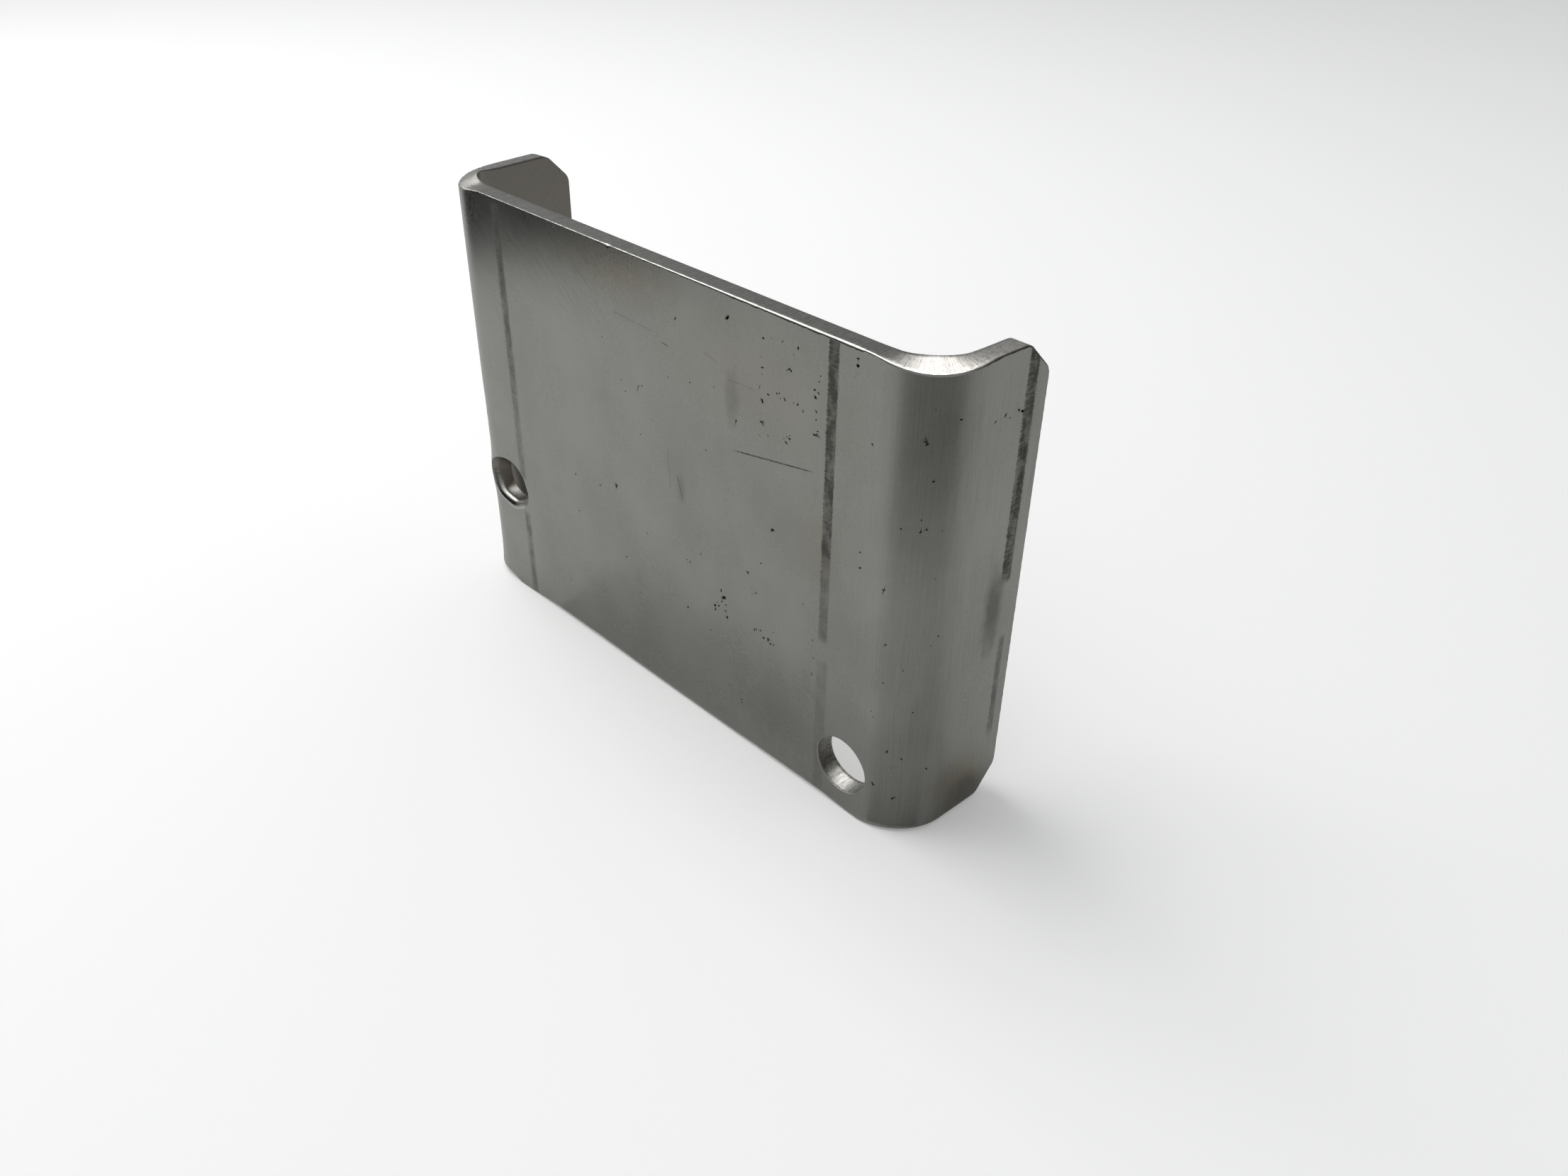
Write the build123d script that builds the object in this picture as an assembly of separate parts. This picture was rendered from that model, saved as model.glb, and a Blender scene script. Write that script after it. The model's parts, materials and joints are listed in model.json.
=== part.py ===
from build123d import *
import os
from math import cos, pi, radians, sin, tan

# Master cylinder bracket: one blank of eighth-inch stainless sheet, folded on a press brake into a channel.
# The web faces -Y, the two flanges run back towards +Y, and the bend lines stand along Z.
# The origin is the middle of the web's outer face, where the cylinder's flange or the firewall seats.
# Lengths are millimetres and angles are degrees.

# Sheet and envelope
sheet_thickness = 3.175
web_width = 106.8             # between the two mould lines, where web and flange faces would meet
bracket_height = 74.3

# Right bend and flange, seen from outside
right_bend_angle = 88.2       # how far the sheet turns
right_inside_radius = 6.0
right_flange_length = 21.1    # from the mould line to the flange's end

# Left bend and flange, which springs open a little more
left_bend_angle = 84.9
left_inside_radius = 4.95
left_flange_length = 24.4

# Flange ends, whose corners are clipped and then rounded
top_clip_length = 4.5         # along the top edge
top_clip_height = 4.4         # down the flange's end
bottom_clip_length = 3.7
bottom_clip_height = 4.35
clip_edge_round = 1.2         # where a clip meets the top or bottom edge
left_top_edge_round = 2.5     # the same on the left flange's top edge, which was ground rounder
clip_end_round = 2.4          # where a clip meets the flange's end

# Bolt holes, close on 3/8 inch studs, bored square to the web and running a little into the bends
bolt_hole_diameter = 9.6
right_hole_from_mould = 12.2
right_hole_height = 7.9       # above the bottom edge
left_hole_from_mould = 10.9
left_hole_height = 21.5
left_hole_outer_pull = 7.8    # from its axis to the side that the bend pulled out, along the outer face
left_hole_inner_pull = 6.7    # the same along the inner face
left_hole_pull_height = 7.4   # of the pulled side, which leaves the bore over three quarters of its wall

# Edge distortion from folding thick sheet
right_rim_draw = 0.95         # how far the outer rim of the top edge is pulled down in the bend
right_rim_lift = 0.3          # how far its inner rim is pushed up
left_rim_draw = 0.8
left_rim_lift = 0.75
right_draw_lean = 1.0         # at 1 the draw is deepest in the middle of the bend, and under 1 nearer the web
left_draw_lean = 0.75
draw_reach = 3.3              # past each end of the bend, to where the draw and the lift have died out
right_edge_swell = 0.3        # how far the bottom edge is pushed out where the bend begins
left_edge_swell = 0.55
right_swell_reach = 7.0       # each way along the edge, to where the swell has died out
left_swell_reach = 16.0

# The broken, faintly rolled rims of the outer face
rim_round = 0.25


class Fold:
    """One bend and its flange. The side is +1 for the right one and -1 for the left one."""

    def __init__(self, side, angle, inside_radius, flange_length, edge_form):
        self.side = side
        self.angle = radians(angle)
        self.outside_radius = inside_radius + sheet_thickness
        self.flange_length = flange_length
        self.rim_draw, self.rim_lift, self.draw_lean, self.edge_swell, self.swell_reach = edge_form
        self.setback = self.outside_radius * tan(self.angle / 2)
        self.tangent = web_width / 2 - self.setback
        self.arc_length = self.outside_radius * self.angle
        self.strip_end = self.tangent + self.arc_length + flange_length - self.setback

    def flange_point(self, along, depth=0.0):
        """The plan point at a distance along the flange from its mould line, at a depth under its outer face."""
        x = web_width / 2 + along * cos(self.angle) - depth * sin(self.angle)
        y = along * sin(self.angle) + depth * cos(self.angle)
        return self.side * x, y

    def strip_point(self, reach, depth):
        """The plan point at a reach along the outer face from the web's middle, at a depth under it."""
        if reach <= self.tangent:
            return self.side * reach, depth
        turn = (reach - self.tangent) / self.outside_radius
        if turn <= self.angle:
            radius = self.outside_radius - depth
            return self.side * (self.tangent + radius * sin(turn)), self.outside_radius - radius * cos(turn)
        return self.flange_point(self.setback + reach - self.tangent - self.arc_length, depth)

    def drawn_share(self, reach, lean):
        """How much of the top edge's draw or lift is felt: all of it in the bend, and none well past it."""
        share = (reach - self.tangent + draw_reach) / (self.arc_length + 2 * draw_reach)
        return sin(pi * share ** lean) ** 2 if 0 < share < 1 else 0.0

    def swell_at(self, reach):
        """How far the bottom edge is pushed down: most where the bend begins."""
        share = (reach - self.tangent) / self.swell_reach
        return self.edge_swell * cos(pi * share / 2) ** 2 if abs(share) < 1 else 0.0


right_edge_form = (right_rim_draw, right_rim_lift, right_draw_lean, right_edge_swell, right_swell_reach)
left_edge_form = (left_rim_draw, left_rim_lift, left_draw_lean, left_edge_swell, left_swell_reach)
right = Fold(1, right_bend_angle, right_inside_radius, right_flange_length, right_edge_form)
left = Fold(-1, left_bend_angle, left_inside_radius, left_flange_length, left_edge_form)
folds = (right, left)

half_height = bracket_height / 2
edge_allowance = 2.0          # extra sheet above and below, which the edge cutters take off
station_pitch = 1.5           # spacing of the stations that carry the edge surfaces along the strip
same = 0.0001                 # within this, two radii or two planes are the same


def folded_strip():
    """The sheet as folded, a little too tall, with plain ends."""
    corners = [(-web_width / 2, 0), (web_width / 2, 0)]
    outer_face = FilletPolyline(
        left.flange_point(left.flange_length),
        *corners,
        right.flange_point(right.flange_length),
        radius=[left.outside_radius, right.outside_radius],
    )
    inner_face = FilletPolyline(
        left.flange_point(left.flange_length, sheet_thickness),
        mould_corner(left),
        mould_corner(right),
        right.flange_point(right.flange_length, sheet_thickness),
        radius=[left_inside_radius, right_inside_radius],
    )
    ends = [
        Line(outer_face @ 0, inner_face @ 0),
        Line(outer_face @ 1, inner_face @ 1),
    ]
    section = make_face(Curve() + [outer_face, inner_face] + ends)
    tall = bracket_height + 2 * edge_allowance
    return extrude(Pos(0, 0, -tall / 2) * section, amount=tall)


def mould_corner(fold):
    """Where the inner faces of the web and a flange would meet."""
    return fold.side * (web_width / 2 - sheet_thickness * tan(fold.angle / 2)), sheet_thickness


def stations():
    """Signed distances along the outer face, from past the left flange's end to past the right one's."""
    first = -left.strip_end - edge_allowance
    last = right.strip_end + edge_allowance
    count = round((last - first) / station_pitch)
    return [first + (last - first) * i / count for i in range(count + 1)]


def edge_surface(height_at):
    """A surface across the sheet, ruled between two curves that follow the strip outside and inside it."""
    places = stations()
    parameters = [place - places[0] for place in places]
    guides = []
    for depth in (-edge_allowance, sheet_thickness + edge_allowance):
        points = []
        for place in places:
            fold = right if place > 0 else left
            points.append((*fold.strip_point(abs(place), depth), height_at(fold, abs(place), depth)))
        guides.append(Edge.make_spline(points, parameters=parameters))
    return Face.make_surface_from_curves(*guides)


def top_height(fold, reach, depth):
    """The top edge face tilts through each bend, from the lifted inner rim down to the drawn outer one."""
    inward = depth / sheet_thickness
    lift = fold.rim_lift * fold.drawn_share(reach, 1)
    draw = fold.rim_draw * fold.drawn_share(reach, fold.draw_lean)
    return half_height + lift * inward - draw * (1 - inward)


def bottom_height(fold, reach, depth):
    """The bottom edge stays square to the faces, and swells where each bend begins."""
    return -half_height - fold.swell_at(reach)


def above_and_below():
    """What is taken off over the top edge and under the bottom edge."""
    clear = 2 * edge_allowance + max(fold.rim_draw + fold.rim_lift for fold in folds)
    above = extrude(edge_surface(top_height), amount=clear, dir=(0, 0, 1))
    below = extrude(edge_surface(bottom_height), amount=clear, dir=(0, 0, -1))
    return above, below


def corner_clip(fold, end_of_edge, end_of_clip):
    """A wedge that clips one corner of a flange, from a point on its long edge to a point on its end."""
    (along_1, height_1), (along_2, height_2) = end_of_edge, end_of_clip
    outward = 1 if height_1 > 0 else -1
    slope = (height_2 - height_1) / (along_2 - along_1)
    before = along_1 - edge_allowance
    after = along_2 + edge_allowance
    wedge = Polygon(
        (before, height_1 - slope * edge_allowance),
        (after, height_2 + slope * edge_allowance),
        (after, height_1 + outward * 2 * edge_allowance),
        (before, height_1 + outward * 2 * edge_allowance),
        align=None,
    )
    return extrude(flange_plane(fold) * wedge, amount=2 * sheet_thickness, both=True)


def flange_plane(fold):
    """The outer face of a flange, with its X along the flange from the mould line and its Y up."""
    x, y = fold.flange_point(0)
    far_x, far_y = fold.flange_point(1)
    along = Vector(far_x - x, far_y - y, 0)
    return Plane(origin=(x, y, 0), x_dir=along, z_dir=along.cross(Vector(0, 0, 1)))


def clip_corners(fold):
    """Each corner of a flange: the ends of its long edge and of its clip, along and up, and the rounding."""
    end = fold.flange_length
    top_round = left_top_edge_round if fold is left else clip_edge_round
    return [
        ((end - top_clip_length, half_height), (end, half_height - top_clip_height), top_round),
        ((end - bottom_clip_length, -half_height), (end, -half_height + bottom_clip_height), clip_edge_round),
    ]


def hole_centre(fold, from_mould, height):
    """Where a bolt hole's axis crosses the web, as its X and Z."""
    return fold.side * (web_width / 2 - from_mould), height - half_height


def across_hole(centre, depth):
    """A plane square to a bolt hole's axis at a depth under the web's outer face, with its X along the web."""
    x, z = centre
    return Plane(origin=(x, depth, z), x_dir=(1, 0, 0), z_dir=(0, 1, 0))


def bolt_hole(centre):
    """A bolt hole's bore, square to the web."""
    section = across_hole(centre, sheet_thickness / 2) * Circle(bolt_hole_diameter / 2)
    return extrude(section, amount=2 * sheet_thickness, both=True)


def pulled_side(fold, centre, outer_pull, inner_pull, height):
    """What the bend opened on a bolt hole's flange side: half an elliptic cone that narrows inwards."""
    x, z = centre
    outer_x, outer_y = fold.strip_point(abs(x) + outer_pull, 0)
    inner_x, inner_y = fold.strip_point(abs(x) + inner_pull, sheet_thickness)
    narrowing = (abs(outer_x) - abs(inner_x)) / (inner_y - outer_y)
    bore = bolt_hole_diameter / 2
    start = -edge_allowance
    end = inner_y + (abs(inner_x) - abs(x) - bore) / narrowing
    wide = bore + narrowing * (end - start)
    wide_end = across_hole(centre, start) * Ellipse(wide, height / 2)
    narrow_end = across_hole(centre, end) * Ellipse(bore, height / 2)
    flange_side = Pos(x + fold.side * wide, 0, z) * Box(2 * wide, 4 * wide, 2 * height)
    return loft([wide_end, narrow_end]) & flange_side


def edges_across(part, fold, corner):
    """The edge that crosses the sheet's thickness at a corner of a flange's outline."""
    along, height = corner
    x, y = fold.flange_point(along, sheet_thickness / 2)
    return part.edges().sort_by_distance((x, y, height))[0]


def cut_blank():
    """The folded sheet with its edges cut, and each flange's corners clipped and rounded."""
    above, below = above_and_below()
    part = folded_strip() - above - below
    for fold in folds:
        for end_of_edge, end_of_clip, _ in clip_corners(fold):
            part -= corner_clip(fold, end_of_edge, end_of_clip)
        for end_of_edge, end_of_clip, edge_round in clip_corners(fold):
            part = fillet(edges_across(part, fold, end_of_edge), edge_round)
            part = fillet(edges_across(part, fold, end_of_clip), clip_end_round)
    return part


def is_outer(face):
    """Whether a face belongs to the outside of the sheet: the web's, a bend's or a flange's."""
    if face.geom_type == GeomType.CYLINDER:
        radius = face.radius or 0
        return any(abs(radius - fold.outside_radius) < same for fold in folds)
    if face.geom_type != GeomType.PLANE:
        return False
    on_flange = any(abs(flange_plane(fold).to_local_coords(face.center()).Z) < same for fold in folds)
    return abs(face.center().Y) < same or (on_flange and face.area > bracket_height)


def outer_rim(part):
    """The edges that border the outside of the sheet, its bolt holes' included."""
    bordering = [edge for face in part.faces() if is_outer(face) for edge in face.edges()]
    return [edge for edge in bordering if sum(edge.is_same(other) for other in bordering) == 1]


def bracket():
    """The cut blank with the outer face's rims broken, and the left hole pulled open after that, its rim left sharp."""
    right_centre = hole_centre(right, right_hole_from_mould, right_hole_height)
    left_centre = hole_centre(left, left_hole_from_mould, left_hole_height)
    part = cut_blank() - bolt_hole(right_centre)
    part = fillet(outer_rim(part), rim_round)
    part -= bolt_hole(left_centre)
    part -= pulled_side(left, left_centre, left_hole_outer_pull, left_hole_inner_pull, left_hole_pull_height)
    return part


os.makedirs("parts", exist_ok=True)
export_step(bracket(), "parts/bracket.step")
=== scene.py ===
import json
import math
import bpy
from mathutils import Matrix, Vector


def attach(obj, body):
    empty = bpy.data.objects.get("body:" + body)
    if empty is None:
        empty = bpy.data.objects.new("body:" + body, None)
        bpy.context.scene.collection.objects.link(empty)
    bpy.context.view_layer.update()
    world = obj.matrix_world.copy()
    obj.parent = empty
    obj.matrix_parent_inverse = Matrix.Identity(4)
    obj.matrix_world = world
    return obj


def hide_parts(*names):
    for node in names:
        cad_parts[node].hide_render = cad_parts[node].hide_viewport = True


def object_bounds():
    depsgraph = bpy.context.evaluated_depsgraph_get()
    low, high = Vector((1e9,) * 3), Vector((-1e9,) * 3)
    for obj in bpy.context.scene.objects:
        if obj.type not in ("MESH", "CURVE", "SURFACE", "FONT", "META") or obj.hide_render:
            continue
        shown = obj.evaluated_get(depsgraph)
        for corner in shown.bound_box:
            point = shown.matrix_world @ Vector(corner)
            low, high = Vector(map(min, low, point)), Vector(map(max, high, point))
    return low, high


bl_info = {
    "name": "Folded Sheet Bracket",
    "version": (1, 0, 0),
    "blender": (4, 5, 0),
    "location": "View3D > Sidebar > Bracket",
    "description": "Dresses a folded bracket with its die marks and pits, in a soft studio",
    "category": "Object",
}

from functools import partial

import bpy
import numpy as np
from mathutils import Vector
from mathutils.geometry import delaunay_2d_cdt

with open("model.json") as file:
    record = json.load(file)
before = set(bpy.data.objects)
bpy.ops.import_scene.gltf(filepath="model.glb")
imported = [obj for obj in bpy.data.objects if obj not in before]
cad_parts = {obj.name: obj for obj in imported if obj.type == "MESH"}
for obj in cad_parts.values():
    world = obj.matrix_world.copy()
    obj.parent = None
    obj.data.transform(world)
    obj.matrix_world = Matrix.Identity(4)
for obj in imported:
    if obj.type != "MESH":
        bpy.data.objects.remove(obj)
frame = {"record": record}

MM = 0.001
NODE = "bracket"
HOLES = {m["name"]: m for m in frame["record"]["mounts"] if m["kind"] == "bore"}
CAD_BOX = [list(corner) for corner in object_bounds()]


def linear(hex_colour):
    """An sRGB hex colour as linear red, green, blue and alpha."""
    parts = [int(hex_colour[i : i + 2], 16) / 255 for i in (1, 3, 5)]
    parts = [c / 12.92 if c <= 0.04045 else ((c + 0.055) / 1.055) ** 2.4 for c in parts]
    return (*parts, 1.0)


def length(name, value_mm, description):
    """A length property whose default is given in millimetres."""
    return bpy.props.FloatProperty(
        name=name, description=description, default=value_mm * MM, unit="LENGTH"
    )


def angle(name, value_deg, description):
    """An angle property whose default is given in degrees."""
    return bpy.props.FloatProperty(
        name=name,
        description=description,
        default=math.radians(value_deg),
        subtype="ANGLE",
        unit="ROTATION",
    )


def colour(name, hex_colour, description):
    """A colour property whose default is an sRGB hex value."""
    return bpy.props.FloatVectorProperty(
        name=name,
        description=description,
        default=linear(hex_colour),
        size=4,
        min=0,
        max=1,
        subtype="COLOR",
    )


def share(name, value, description):
    """A property between 0 and 1."""
    return bpy.props.FloatProperty(
        name=name, description=description, default=value, min=0, max=1, subtype="FACTOR"
    )


def power(name, watts, description):
    """A light's power."""
    return bpy.props.FloatProperty(name=name, description=description, default=watts, unit="POWER")


class FoldSizes(bpy.types.PropertyGroup):
    """One bend and the flange past it."""

    turn: angle("Turn", 88.2, "How far the sheet turns")
    inside_radius: length("Inside radius", 6.0, "Radius of the bend's inner face")
    flange_length: length("Flange", 21.1, "From the mould line to the flange's end")
    rim_draw: length("Rim draw", 0.95, "How far the bend pulls down the top edge's outer rim")
    rim_lift: length("Rim lift", 0.3, "How far the bend pushes up the top edge's inner rim")
    edge_swell: length("Edge swell", 0.3, "How far the bottom edge stands out at the bend")
    swell_reach: length("Swell reach", 7.0, "Each way from the bend's start to the swell's end")
    draw_lean: share("Draw lean", 1.0, "At 1 the draw is deepest mid-bend, under 1 nearer the web")


# The left fold's own values, which differ from the right one's defaults
LEFT_FOLD = {
    "turn": math.radians(84.9),
    "inside_radius": 4.95 * MM,
    "flange_length": 24.4 * MM,
    "rim_draw": 0.8 * MM,
    "rim_lift": 0.6 * MM,
    "draw_lean": 0.75,
    "edge_swell": 0.55 * MM,
    "swell_reach": 16.0 * MM,
}


class SheetSizes(bpy.types.PropertyGroup):
    """The sheet, its folds, its clipped corners and its holes."""

    thickness: length("Thickness", 3.175, "Eighth-inch sheet")
    web_width: length("Web width", 106.8, "Between the two mould lines")
    height: length("Height", 74.3, "From the bottom edge to the top edge")
    right: bpy.props.PointerProperty(
        type=FoldSizes, name="Right fold", description="The fold on the +X side"
    )
    left: bpy.props.PointerProperty(
        type=FoldSizes, name="Left fold", description="The fold on the -X side"
    )
    draw_reach: length("Draw reach", 3.3, "Past a bend's ends, to the draw's and lift's end")
    top_clip_length: length("Top clip length", 4.5, "Along the top edge")
    top_clip_height: length("Top clip height", 4.4, "Down the flange's end")
    bottom_clip_length: length("Bottom clip length", 3.7, "Along the bottom edge")
    bottom_clip_height: length("Bottom clip height", 4.35, "Up the flange's end")
    clip_edge_round: length("Clip edge round", 1.2, "Where a clip meets the bottom edge")
    top_edge_round: length("Top edge round", 2.5, "Where a clip meets the top edge")
    clip_end_round: length("Clip end round", 2.4, "Where a clip meets the flange's end")
    rim_round: length("Rim round", 0.25, "Break of the outer face's rims")
    worn_rim_round: length("Worn rim round", 0.42, "Roll of the top rim beside the right bend")
    inner_rim_round: length("Inner rim round", 0.09, "Break of the inner face's rims")
    right_hole_burr: length("Right hole burr", 0.35, "How far its lower inner rim stands in")
    left_hole_upper_pinch: length("Upper pinch", 0.25, "Of the left hole, by the bend from above")
    left_hole_lower_pinch: length("Lower pinch", 0.9, "Of the left hole, by the bend from below")
    left_hole_outer_pull: length("Outer pull", 8.0, "Left hole's axis to its pulled outer rim")
    left_hole_inner_pull: length("Inner pull", 5.7, "Left hole's axis to its pulled inner rim")
    left_hole_droop: length("Left hole droop", 1.3, "How far the bend flattened the left hole")
    left_hole_roll: length("Left hole roll", 1.2, "Crushed rim under the left hole")
    crushed_rim_round: length("Crushed rim round", 1.5, "Rim roll of the left bend's bottom edge")
    bottom_rim_round: length("Bottom rim round", 0.12, "Break of the bottom edge's outer rim")
    nick_size: length("Nick size", 0.5, "Knocked place on the top edge's outer rim")
    hole_rim_round: length("Hole rim round", 0.08, "Broken rim of a bolt hole")
    bend_sag: length("Bend sag", 0.09, "How far the lower left bend falls short")
    corner_flare: length("Corner flare", 0.5, "How far the left bend stands out at its bottom end")
    hole_bulge: length("Hole bulge", 0.42, "How far the left bend stands out beside its hole")
    bottom_wave: length("Bottom wave", 0.08, "Unevenness of the sheared bottom edge")
    mark_depth: length("Mark depth", 0.02, "How deep the die's shoulders scuffed the face")
    mesh_pitch: length("Mesh pitch", 1.2, "Spacing of the mesh on the flat faces")
    edge_pitch: length("Edge pitch", 0.45, "Spacing of the mesh along the edges and in the bends")


class Finish(bpy.types.PropertyGroup):
    """Colours and roughnesses of the mill-finished stainless sheet."""

    sheet: colour("Sheet", "#8f8f8a", "Reflected colour of the mill-finished face")
    mark: colour("Die mark", "#595854", "Scuffed lines that the die's shoulders left")
    stain: colour("Stain", "#85785f", "Warm tint of oil and heat")
    pit: colour("Pit", "#11100f", "Dirt in pits and scratches")
    # This colour also paints shade deep in the left hole's pulled wall.
    inner: colour("Inner face", "#6c675f", "Duller face inside the channel")
    edge: colour("Sheared edge", "#817f7b", "Torn part of a sheared edge")
    burnish: colour("Burnished rim", "#a5a4a0", "Polished rim of a sheared edge")
    # The burr colour also paints the shadow line along the right flange's outer rim.
    burr: colour("Burr", "#2e2b27", "Dark line where the shear broke through")
    face_roughness: share("Face roughness", 0.275, "Of the mill finish")
    edge_roughness: share("Edge roughness", 0.24, "Of the sheared edges")


class Studio(bpy.types.PropertyGroup):
    """Floor, lights and camera."""

    floor: colour("Floor", "#f2f2f1", "Pale matt floor")
    room: colour("Room", "#c9cbcc", "Light of the white room")
    room_strength: share("Room strength", 0.65, "Of the room's light")
    key_power: power("Key power", 4.5, "Of the large soft light in front, at the left")
    high_power: power("High power", 5.0, "Of the high card that only the metal sees")
    left_power: power("Left power", 0.11, "Of the small left card that only the metal sees")
    camera_place: bpy.props.FloatVectorProperty(
        name="Camera place",
        description="Where the photograph was taken from",
        default=(136.34 * MM, -106.88 * MM, 98.39 * MM),
        unit="LENGTH",
    )
    camera_turn: bpy.props.FloatVectorProperty(
        name="Camera turn",
        description="The photograph's view as turns about X, Y and Z",
        default=tuple(math.radians(a) for a in (56.085, -0.958, 45.897)),
        subtype="EULER",
    )
    camera_lens: bpy.props.FloatProperty(
        name="Lens", description="In millimetres on a 36 mm film", default=29.19
    )


# All tables and numbers below are in millimetres over the flat blank, unless they say otherwise.
# The lines that the die's shoulders scuffed: reach, width, lowest and highest point, strength
# from 0 to 1, and how soft their sides are.
DIE_MARKS = (
    (36.5, 1.7, 5.0, 40.0, 1.0, 0.1),
    (36.5, 1.7, -8.7, 5.5, 0.62, 0.12),
    (36.6, 2.0, -40.0, -12.5, 0.28, 0.2),
    (-38.1, 1.7, 3.0, 36.0, 0.7, 0.45),
    (-38.2, 1.6, -13.0, 3.5, 0.5, 0.45),
    (-38.2, 1.6, -40.0, -20.0, 0.6, 0.45),
    (67.4, 2.0, 2.0, 40.0, 1.0, 0.2),
    (68.4, 1.2, -26.0, -8.0, 0.55, 0.2),
)
# Warm or dark clouds: reach, height, half width, half height, and strength from 0 to 1.
WARM_CLOUDS = (
    (-8.0, 34.0, 16.0, 4.5, 0.35),
    (22.0, 27.0, 20.0, 9.0, 0.16),
    (35.0, 7.0, 4.0, 7.0, 0.22),
    (62.5, -32.0, 6.5, 6.0, 0.65),
)
DARK_CLOUDS = (
    (65.3, -2.0, 2.2, 7.5, 0.85),
    (65.0, -34.5, 6.5, 3.5, 0.5),
    (17.6, 22.5, 1.6, 4.5, 0.3),
    (6.0, 3.5, 1.1, 3.4, 0.28),
    (26.0, -29.0, 9.0, 5.0, 0.2),
)
# Scratches: the reach and height of both ends, half their width, and darkness from 0 to 1.
SCRATCHES = (
    (17.6, 14.4, 33.7, 17.3, 0.15, 1.0),
    (2.4, 25.9, 4.2, 25.7, 0.1, 0.9),
    (-9.0, 27.2, 1.0, 26.9, 0.07, 0.35),
    (11.8, 27.3, 14.6, 26.7, 0.07, 0.45),
    (16.6, 24.9, 22.2, 25.2, 0.07, 0.4),
    (5.1, 5.3, 6.3, 1.6, 0.22, 0.42),
    (3.0, 9.5, 3.6, 2.0, 0.08, 0.35),
    (39.8, 32.8, 41.0, 34.2, 0.05, 0.35),
)
SCRATCH_STEP, SCRATCH_DEPTH, SCRATCH_WEAR = 0.22, 0.03, (0.55, 1.0)
# Pitted patches: reach, height, spread along and up, how many pits, and their radius.
PIT_PATCHES = (
    (15.4, -12.0, 0.05, 0.05, 1, 0.5),
    (14.9, -12.9, 1.6, 2.4, 12, 0.25),
    (23.2, -14.2, 1.7, 0.9, 11, 0.33),
    (25.7, -15.0, 1.0, 0.5, 6, 0.25),
    (20.9, -4.6, 0.1, 0.1, 1, 0.27),
    (22.0, -7.4, 0.9, 0.8, 3, 0.17),
    (6.8, -9.2, 0.8, 0.2, 3, 0.17),
    (6.7, -18.4, 0.5, 0.5, 3, 0.18),
    (34.6, -13.4, 0.2, 4.0, 6, 0.17),
    (25.8, 4.9, 0.1, 0.1, 1, 0.32),
    (23.6, 23.8, 0.5, 0.4, 3, 0.26),
    (28.5, 25.8, 4.2, 0.6, 10, 0.15),
    (23.4, 25.0, 0.2, 6.5, 7, 0.15),
    (28.2, 20.4, 0.9, 0.8, 5, 0.17),
    (33.9, 27.5, 0.7, 5.0, 14, 0.18),
    (18.4, 19.6, 0.1, 0.5, 2, 0.2),
    (28.8, 30.4, 0.1, 0.1, 1, 0.26),
    (16.8, 33.9, 0.1, 0.1, 1, 0.36),
    (40.6, 34.9, 0.2, 1.0, 3, 0.27),
    (27.0, 33.0, 7.0, 1.4, 5, 0.17),
    (48.0, 18.0, 7.0, 14.0, 14, 0.15),
    (51.0, -16.0, 5.0, 17.0, 14, 0.18),
    (63.0, 28.4, 3.6, 0.4, 6, 0.21),
    (2.0, 36.7, 12.0, 0.6, 7, 0.26),
    (0.0, 0.0, 36.0, 34.0, 34, 0.14),
)
# A pit's rings about its middle: share of its radius, depth as a share of it, dirt, and points.
PIT_RINGS = ((0.65, 0.3, 1.0, 6), (1.0, 0.0, 0.0, 9))
PIT_MIDDLE_DEPTH = 0.4
# How unlike one another the pits are: factors of their size, their length and their border
PIT_SIZES, PIT_LENGTHS, PIT_BORDERS = (0.5, 1.4), (1.0, 1.9), (0.7, 1.2)
# How far grid points of a face stay from an edge, from a pit's border and from a scratch, and
# how far each way from a die mark's side the mesh has a column
EDGE_ROOM, PIT_ROOM, SCRATCH_ROOM, MARK_ROOM = 0.3, 0.05, 0.12, 0.1

# Unevenness of the left bend: over which height its bottom flare dies out, how far the bulge
# stands under the hole's axis and how tall it is, and over which height the sag sets in.
FLARE_FADE = 2.6
BULGE_DROP, BULGE_REACH = 0.65, 3.2
SAG_EASE = 3.0
# The rolls left waves of 25 to 70 mm on the web, about a hundredth of a millimetre high.
LONG_WAVE, SHORT_WAVE, WAVY_REACH = 0.012, 0.006, 40
# The sheared bottom edge waves between the bends: its crest, its length and where it dies out.
BOTTOM_CREST, BOTTOM_WAVE_LENGTH, BOTTOM_WAVE_ENDS = 5, 58, (30, 46)
# The top rim's roll starts at a share of the rim's break and grows over this stretch.
NARROW_RIM, RIM_GROWTH = 0.4, (-30, 38)
# The bottom edge's crushed rim sets in and dies out over these stretches of the left bend.
CRUSH_START, CRUSH_END = (42, 47), (62, 54)
# The rims are broken unevenly by a share, which falls by a part of itself over a stretch.
RIM_BREAKS, RIM_BREAKS_FALL, RIM_BREAKS_STRETCH = 0.6, 0.35, (-20, 30)
# The left hole's roll sets in from above its axis, and grows by a share towards the web.
ROLL_SETS_IN, ROLL_ON_FLANGE, ROLL_GROWTH, ROLL_GROWS = (-1, 3.2), 0.95, 0.3, (3.2, -1.3)
NICK_REACH, NICK_WIDTH = -8.9, 0.45
# A loop's points on the top or bottom edge lie this close to it.
ON_EDGE = 1e-6
# The arcs along the holes' rims are counted from here, past every arc along the outline.
HOLE_ARC_START = 500.0

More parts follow.
